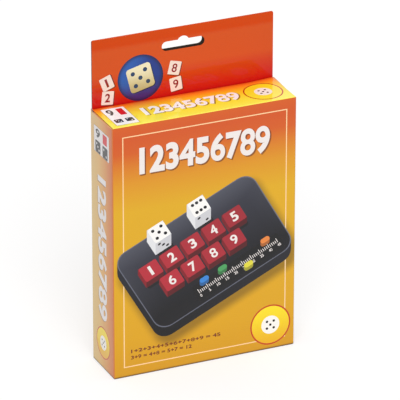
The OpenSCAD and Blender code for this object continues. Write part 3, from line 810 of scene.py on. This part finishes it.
# Where the slot lies, from the tab's middle and its top, and where its shoulders start
slot_reach, slot_from, slot_to, shoulder = (size * MM for size in (18, 5, 20, 53.9))


def welded(node):
    """A copy of a CAD solid whose triangles are joined up."""
    bm = bmesh.new()
    bm.from_mesh(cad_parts[node].data)
    bmesh.ops.remove_doubles(bm, verts=bm.verts, dist=1e-7)
    return bm


def build_tab():
    """The front and the back ply as two closed sheets, the back one's slot a little off."""
    both = bmesh.new()
    for way, off in ((-1, 0.0), (1, slot_off)):
        ply = welded("hang_tab")
        cut = bmesh.ops.bisect_plane(
            ply, geom=ply.verts[:] + ply.edges[:] + ply.faces[:],
            plane_co=(0, tab_seam + way * glue_gap, 0), plane_no=(0, -way, 0), clear_outer=True)
        rim = [edge for edge in cut["geom_cut"] if isinstance(edge, bmesh.types.BMEdge)]
        inside = bmesh.ops.triangle_fill(ply, edges=rim, use_beauty=True, normal=(0, -way, 0))
        for face in inside["geom"]:
            if isinstance(face, bmesh.types.BMFace):
                face.material_index = 1
        for vert in ply.verts:
            beside, below = abs(vert.co.x), tab_high.z - vert.co.z
            if beside < slot_reach and slot_from < below < slot_to:
                vert.co.x -= off
                vert.co.z += off
            elif way < 0 and beside > shoulder and abs(vert.co.z - lid_line * MM) < touching:
                vert.co.z -= tucked_in
        bmesh.ops.recalc_face_normals(ply, faces=ply.faces)
        sheet = bpy.data.meshes.new("ply")
        ply.to_mesh(sheet)
        ply.free()
        both.from_mesh(sheet)
        bpy.data.meshes.remove(sheet)
    return made_mesh("printed_tab", both, [tab_print_board, shaded_board], 0)


shaded_board = uncoated_board("shaded_board_inside", tone(38, 31, 25), 0.16)
fitted(build_tab(), "carton", "hang_tab")


tab_print = Print("tab_print", lambda u, v, lift: in_mm(
    u - (tab_high.x - tab_low.x) / MM / 2, tab_low.y / MM - 0.002 - lift, tab_high.z / MM - v))
roundel_at, roundel_r = (36, 33), 17


def roundel_ink(u, v):
    """Blue that turns violet towards the foot and darkens at the rim."""
    x, y = (u - roundel_at[0]) / roundel_r, (v - roundel_at[1]) / roundel_r
    lit = mixed(tone(30, 84, 168), tone(12, 48, 132), eased(-0.6, 0.3, x + 0.3 * y))
    return mixed(mixed(lit, tone(62, 22, 108), eased(0.1, 0.9, y)), tone(16, 12, 52),
                 eased(0.8, 1.05, hypot(x, y)))


def turned(cu, cv, angle):
    """From a small drawing's own axes to the panel."""
    c, s = cos(radians(angle)), sin(radians(angle))
    return lambda x, y: (cu + x * c - y * s, cv + x * s + y * c)


tab_print.shape(disc(*roundel_at, roundel_r, 12), roundel_ink, 1, 14)
tab_die = turned(*roundel_at, -14)
die_face = round_outline(0, 0, 9.2, 9.2, 2.4)
tab_print.shape([tab_die(x + 0.5, y + 0.7) for x, y in die_face], tone(10, 14, 52), 2)
tab_print.shape([tab_die(x, y) for x, y in die_face], lambda u, v: mixed(
    tone(232, 224, 190), tone(176, 160, 104), eased(-9, 12, v - roundel_at[1])), 3, 6)
pips(tab_print, 5, tab_die, 4.7, 1.6, tone(34, 60, 96), 4)
for figure, cu, cv, angle in (("1", 11, 33, -20), ("2", 11.5, 44, 6), ("8", 61.5, 30, 14),
                              ("9", 62.5, 42, -8)):
    card = turned(cu, cv, angle)
    for layer, grow, shift, tint in ((1, 0.25, 0.5, tone(120, 30, 4)), (2, 0, 0, tone(234, 214, 204))):
        tab_print.shape([card(x + shift, y + shift) for x, y in
                         round_outline(0, 0, 4.4 + grow, 5 + grow, 0.7)], tint, layer)
    wide = 1.7 if figure == "1" else 3.9
    tab_print.figures(figure, tone(140, 14, 18), 3, -wide / 2, -3.2, wide, 6.4, 0.03, card)
tab_print.laid("carton", "printed_orange_board")


# ---- Lid and its dust flaps
# The lid is scored to the front panel's top, with a tuck tongue that leans in behind it. Its
# free back corners are round, and the right one has curled up a little from use.
def folded_sheet(name, rows, reach, place, ink, columns, thick):
    """A closed sheet of board. rows are (run, point, normal) along its path, reach(run) its
    two side edges, place(point, across) a point of it, ink(run, back, across) its print."""
    bm = bmesh.new()
    layer = bm.loops.layers.float_color.new("ink")
    spot_of, skins = {}, ([], [])
    for depth, skin in zip((0, thick), skins):
        for run, point, normal in rows:
            low, high = reach(run)
            spot = [p - depth * n for p, n in zip(point, normal)]
            across = [low + (high - low) * k / columns for k in range(columns + 1)]
            skin.append([bm.verts.new(place(spot, x)) for x in across])
            spot_of.update((vert, (run, point[0], x)) for vert, x in zip(skin[-1], across))
    rings = [outer + inner[::-1] for outer, inner in zip(*skins)]
    sides = [0] * columns + [2] + [1] * columns + [2]
    for near, far in zip(rings, rings[1:]):
        for (a, b), (c, d), side in zip(pairs(near), pairs(far), sides):
            bm.faces.new((a, b, d, c)).material_index = side
    for ring in (rings[0], rings[-1]):
        for k in range(columns):
            bm.faces.new((ring[k + 1], ring[k], ring[-1 - k], ring[-2 - k])).material_index = 2
    bmesh.ops.recalc_face_normals(bm, faces=bm.faces)
    for face in bm.faces:
        if face.material_index == 0:
            inked(face, layer, [ink(*spot_of[loop.vert]) for loop in face.loops])
    # Side faces take the dark cut edge ink, which is partly painted shade
    return made_mesh(name, bm, [printed_board, grey_back, shaded_cut_edge], 50)


def fold_rows(centre, radius, start, end, count):
    """Rows round a fold: angle from the path's outward side, in degrees."""
    rows = []
    for k in range(count + 1):
        angle = radians(start + (end - start) * k / count)
        normal = (cos(angle), sin(angle))
        rows.append((tuple(c + radius * n for c, n in zip(centre, normal)), normal))
    return rows


def flat_rows(start, end, normal, count):
    """Rows along a flat stretch, after its start."""
    return [(mixed(start, end, k / count), normal) for k in range(1, count + 1)]


def with_runs(rows):
    """Adds to each row how far along the path it is."""
    steps = (dist(last[0], row[0]) for last, row in zip(rows[:1] + rows, rows))
    return [(run, *row) for run, row in zip(accumulate(steps), rows)]


lid_half, lid_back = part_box("lid")[1].x / MM, tab_low.y / MM - 0.15
lid_top, lid_thick, lid_fold, lid_corner = lid_line - print_room, 0.42, 0.5, 2.0
tongue_long, tongue_lean, tongue_half, tongue_corner = 12, 9, lid_half - 2, 6
flat_from, flat_to = lid_fold - half_d, lid_back - lid_fold
lid_rows = fold_rows((flat_from, lid_top - lid_fold), lid_fold, 180, 90, 5)
lid_rows += flat_rows((flat_from, lid_top), (flat_to, lid_top), (0, 1), 44)[:-1]
lid_rows += fold_rows((flat_to, lid_top - lid_fold), lid_fold, 90, -tongue_lean, 5)
root, tongue_normal = lid_rows[-1]
tip = [at - part(radians(tongue_lean)) * tongue_long for at, part in zip(root, (sin, cos))]
lid_rows = with_runs(lid_rows + flat_rows(root, tip, tongue_normal, 12))
tongue_from, tongue_to = lid_rows[-13][0], lid_rows[-1][0]


def lid_reach(run):
    """The lid's half width along its path, with its round back corners and tongue."""
    half = lid_half
    if run > tongue_from:
        half, into = tongue_half, run - (tongue_to - tongue_corner)
        if into > 0:
            half -= tongue_corner - sqrt(max(tongue_corner ** 2 - into ** 2, 0.01))
    elif run > tongue_from - lid_corner:
        half += sqrt(lid_corner ** 2 - (run - tongue_from + lid_corner) ** 2) - lid_corner
        half = max(half, tongue_half)
    return -half, half


curl_high, curl_wide, curl_from = 1.1, 24, -6


def lid_place(point, x):
    """A point of the lid, with the curl at its back right corner."""
    along, up = point
    curl = curl_high * eased(lid_half - curl_wide, lid_half + 4, x) * eased(curl_from, lid_back, along)
    return in_mm(x, along, up + curl)


lid_fade = fade((0, 212, 66, 6), (0.03, 230, 92, 14), (0.1, 255, 136, 26), (0.22, 255, 176, 30),
                (0.33, 255, 202, 36), (0.44, 255, 217, 44), (0.55, 255, 228, 54),
                (0.66, 255, 237, 62), (0.8, 255, 242, 70), (1, 255, 248, 90))


def lid_ink(run, back, x):
    """Orange at the back to yellow in front, greyer along the right edge towards the back."""
    share = (lid_back - back) / (lid_back + half_d)
    grey = 0.5 * eased(lid_half - 0.9, lid_half, x) * (1 - share)
    ink = mixed(faded(lid_fade, share), tone(170, 150, 120), grey)
    return mixed(ink, tone(204, 96, 30), 0.5 * (1 - eased(0, 0.7, run)))


fitted(folded_sheet("printed_lid", lid_rows, lid_reach, lid_place, lid_ink, 76, lid_thick),
       "lid", "lid")

flap_low, flap_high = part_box("dust_flap_left")
flap_top, flap_in = flap_high.z / MM, flap_high.x / MM
flap_from = fold_r - half_w
flap_rows = fold_rows((flap_from, flap_top - fold_r), fold_r, 180, 90, 5)
flap_rows = with_runs(flap_rows + flat_rows((flap_from, flap_top), (flap_in, flap_top), (0, 1), 10))


flap_slant, flap_cut, flap_cut_long = 0.6, 4, 3


def flap_reach(way):
    """A dust flap's front edge slants back from its fold, and its back corner is cut off."""
    def reach(run):
        to_end = flap_rows[-1][0] - run
        near = flap_low.y / MM + flap_slant * max(run - fold_r, 0)
        far = flap_high.y / MM - flap_cut * max(0, 1 - to_end / flap_cut_long)
        return (-far, -near) if way > 0 else (near, far)
    return reach


for way, name in ((1, "dust_flap_left"), (-1, "dust_flap_right")):
    flap = folded_sheet(
        "printed_" + name, flap_rows, flap_reach(way),
        lambda point, y: in_mm(way * point[0], -way * y, point[1]),
        lambda run, back, y: mixed(tone(216, 130, 84), tone(226, 160, 96), eased(-18, 18, y)),
        6, flap_top - side_top)
    fitted(flap, name, name)


def on_lid(u, v, lift):
    """u from the lid's left edge, v from its back fold to its front one."""
    return lid_place((lid_back - v, lid_top + lift), u - lid_half)


lid_print, lid_white = Print("lid_print", on_lid), tone(255, 255, 255)
label(lid_print, 4.6, 4.2, 16.8, 29, lid_white)
dropped_title(lid_print, 30, 11.5, 72, 13.5, 0.7, lid_white,
              lambda u, v: faded(lid_fade, v / (lid_back + half_d)))
seal(lid_print, 120, 19.5, 14, 1, tone(255, 240, 60))
lid_print.laid("lid", "printed_yellow_board")


# ---- Card insert and rules leaflet
# The insert is one creased sheet that keeps the game from sliding about. The leaflet is a
# folded sheet of thin white paper.
dress(grey_back, "card_insert")
dress(uncoated_board("white_paper", tone(240, 238, 232), 0.04), "rules_leaflet")


# ---- Game case
# Upper and lower shells injection moulded in charcoal plastic with a fine leather grain, held
# by six small screws from below.
def moulded_finish(name, colour, roughness, grain=None):
    """Moulded plastic: an even colour, slightly mottled gloss, and the mould's grain."""
    finish, tree, shader = new_finish(name)
    mottle = ranged(tree, surface_noise(tree, 160), 0.3, 0.7, roughness - 0.05, roughness + 0.05)
    feed(shader, {"Base Color": speckled(tree, colour, 0.06, 300), "Roughness": mottle, "IOR": 1.5})
    if grain:
        size, depth = grain
        cells = add_node(tree, "TexVoronoi", {"Scale": 1 / size}, feature="SMOOTH_F1")
        feed(cells, {"Vector": add_node(tree, "TexCoord").outputs["Object"]})
        press_bump(tree, shader, cells.outputs["Distance"], depth)
    else:
        press_bump(tree, shader, surface_noise(tree, 400), 0.00002, 0.4)
    return finish


def moulded(node, body, finish, soften=0, extra=()):
    """A copy of a CAD solid with its edges softened as a mould leaves them."""
    bm = welded(node)
    if soften:
        bmesh.ops.dissolve_limit(bm, angle_limit=radians(1), verts=bm.verts, edges=bm.edges)
    piece = made_mesh("moulded_" + node, bm, [finish, *extra], 32)
    if soften:
        given(piece.modifiers.new("soft_edges", "BEVEL"), width=soften * MM, segments=2,
              limit_method="ANGLE", angle_limit=radians(40), harden_normals=True)
    return fitted(piece, body, node)


charcoal = moulded_finish("charcoal_grained_plastic", tone(44, 45, 51), 0.48, (0.0005, 0.00006))
jet = moulded_finish("black_plastic", tone(24, 24, 26), 0.35)
crimson = moulded_finish("crimson_plastic", tone(150, 20, 34), 0.3)
dress(charcoal, "case_top", "case_base")
dress(jet, "number_plate", "score_plate")
for number in range(1, 10):
    moulded(f"tile_{number}", f"tile_{number}", crimson, 0.2)
for name, ink in (("blue", (38, 122, 208)), ("green", (52, 156, 84)), ("yellow", (232, 216, 50)),
                  ("orange", (236, 132, 52))):
    moulded(f"slider_{name}", f"slider_{name}",
            moulded_finish(f"{name}_plastic", tone(*ink), 0.35), 0.12)
for node in ("grip_roller", "end_stub_low", "end_stub_high"):
    moulded(node, "spindle", jet)
for node in ("bearing_cap_low", "bearing_cap_high"):
    moulded(node, "game", jet, 0.1)

zinc, tree, shader = new_finish("zinc_steel")
feed(shader, {
    "Base Color": speckled(tree, tone(196, 198, 200), 0.08, 500), "Metallic": 1.0,
    "Roughness": ranged(tree, surface_noise(tree, 700), 0.3, 0.7, 0.22, 0.4)})
dress(zinc, "case_screws", "tile_axle")

clear, tree, shader = new_finish("clear_plastic")
feed(shader, {
    "Base Color": (0.97, 0.98, 0.98), "Transmission Weight": 1.0, "IOR": 1.49,
    "Roughness": ranged(tree, surface_noise(tree, 200), 0.35, 0.75, 0.01, 0.05)})
for node in ("ball_low_front", "ball_low_back", "ball_high_front", "ball_high_back"):
    moulded(node, "spindle", clear)

# Light paint on the raised row figures, on the figures under the tiles and on the score scale
figure_paint, tree, shader = new_finish("figure_paint")
feed(shader, {"Base Color": corner_inks(tree, 0.06, 900), "Roughness": 0.45})
press_bump(tree, shader, surface_noise(tree, 1500), 0.00001, 0.5)
row_from, tile_pitch, under_tiles = 14.15, 13.3, 15.4
arch_radius, crown = 78.03, 21.0
game_depth, game_foot = 16.6, 1.6
plate_from, plate_back, shelf, plate_lean = 14, -8, 18.9, radians(16)


def in_case(x, y, z):
    """x along the tile row, y away from the player and z up from the case's foot, in mm."""
    return in_mm(-y, game_depth - z, game_foot + x)


def on_score_plate(u, v, lift):
    along, up = cos(plate_lean), sin(plate_lean)
    return in_case(plate_from + u, plate_back - v * along - lift * up, shelf - v * up + lift * along)


row_figures = Print("row_figures", lambda u, v, lift: in_case(
    u, -v, crown - arch_radius + sqrt(arch_radius ** 2 - v ** 2) + lift))
row_figures.film, row_figures.step = 0.3, 0.2
hidden_figures = Print("hidden_figures", lambda u, v, lift: in_case(u, -v, under_tiles + lift))
score_figures = Print("score_figures", on_score_plate)
score_pitch, score_from = 103 / 45, 8.15
for number in range(9):
    middle = row_from + (number + 0.5) * tile_pitch
    for sheet, ink, foot, tall in ((row_figures, tone(150, 152, 156), -15.0, 4.4),
                                   (hidden_figures, tone(236, 236, 234), -2.6, 8.6)):
        wide = tall * (0.24 if number == 0 else 0.68)
        sheet.figures(str(number + 1), ink, 1, middle - wide / 2, foot - tall, wide, tall, 0.03)
for points in range(0, 50, 5):
    wide = 1.5 * len(str(points))
    score_figures.figures(str(points), tone(232, 232, 230), 1,
                          score_from + points * score_pitch - wide / 2, 14.2, wide, 2.7, 0.02)
for sheet in (row_figures, hidden_figures, score_figures):
    sheet.laid("game", "dice_white", figure_paint)


def tick_rule(paint):
    """Geometry Nodes for a row of bars: how many, how far apart, and each one's size."""
    tree = bpy.data.node_groups.new("tick_rule", "GeometryNodeTree")
    tree.interface.new_socket("Ticks", in_out="OUTPUT", socket_type="NodeSocketGeometry")
    sizes = {name: tree.interface.new_socket(
        name, in_out="INPUT", socket_type="NodeSocketInt" if name == "Count" else "NodeSocketFloat"
    ).identifier for name in ("Count", "Pitch", "Width", "Length", "Thickness")}
    wanted = add_node(tree, "NodeGroupInput").outputs
    gap = add_node(tree, "CombineXYZ", {"X": wanted["Pitch"]})
    row = add_node(tree, "GeometryNodeMeshLine", {"Count": wanted["Count"], "Offset": gap.outputs[0]})
    size = {"X": wanted["Width"], "Y": wanted["Length"], "Z": wanted["Thickness"]}
    size = add_node(tree, "CombineXYZ", size)
    bar = add_node(tree, "GeometryNodeMeshCube", {"Size": size.outputs[0]})
    bars = {"Points": row.outputs["Mesh"], "Instance": bar.outputs["Mesh"]}
    bars = add_node(tree, "GeometryNodeInstanceOnPoints", bars)
    real = add_node(tree, "GeometryNodeRealizeInstances", {0: bars.outputs["Instances"]})
    painted = {"Geometry": real.outputs[0], "Material": paint}
    painted = add_node(tree, "GeometryNodeSetMaterial", painted)
    add_node(tree, "NodeGroupOutput", {0: painted.outputs[0]})
    return tree, sizes


rule, rule_sizes = tick_rule(moulded_finish("scale_paint", tone(226, 226, 224), 0.45))
for name, count, every, long in (("single", 46, 1, 2.6), ("fifth", 10, 5, 3.6)):
    carrier = in_scene(name, bpy.data.meshes.new(name))
    ticks = carrier.modifiers.new("ticks", "NODES")
    ticks.node_group = rule
    for size, value in (("Count", count), ("Pitch", every * score_pitch), ("Width", 0.35),
                        ("Length", long), ("Thickness", 0.03)):
        ticks[rule_sizes[size]] = value
    real = carrier.evaluated_get(bpy.context.evaluated_depsgraph_get())
    scale = in_scene(f"score_ticks_{name}", bpy.data.meshes.new_from_object(real))
    bpy.data.objects.remove(carrier)
    for vert in scale.data.vertices:
        u, v, lift = vert.co
        vert.co = on_score_plate(score_from + u, 13.6 - long / 2 + v, lift)
    scale.data.flip_normals()
    fitted(scale, "game")

# A moulded die's sunk pips are painted
dice_white = moulded_finish("dice_white", tone(240, 238, 232), 0.25)
pip_paint = moulded_finish("pip_paint", tone(20, 20, 22), 0.5)
for node in ("die_low", "die_high"):
    die = moulded(node, node, dice_white, extra=[pip_paint])
    low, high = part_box(node)
    centre, half = (low + high) / 2, (high - low).x / 2
    for face in die.data.polygons:
        off = face.center - centre
        deep = half - max(abs(c) for c in off)
        if deep > 0.00003 and off.length < 1.5 * half:
            face.material_index = 1
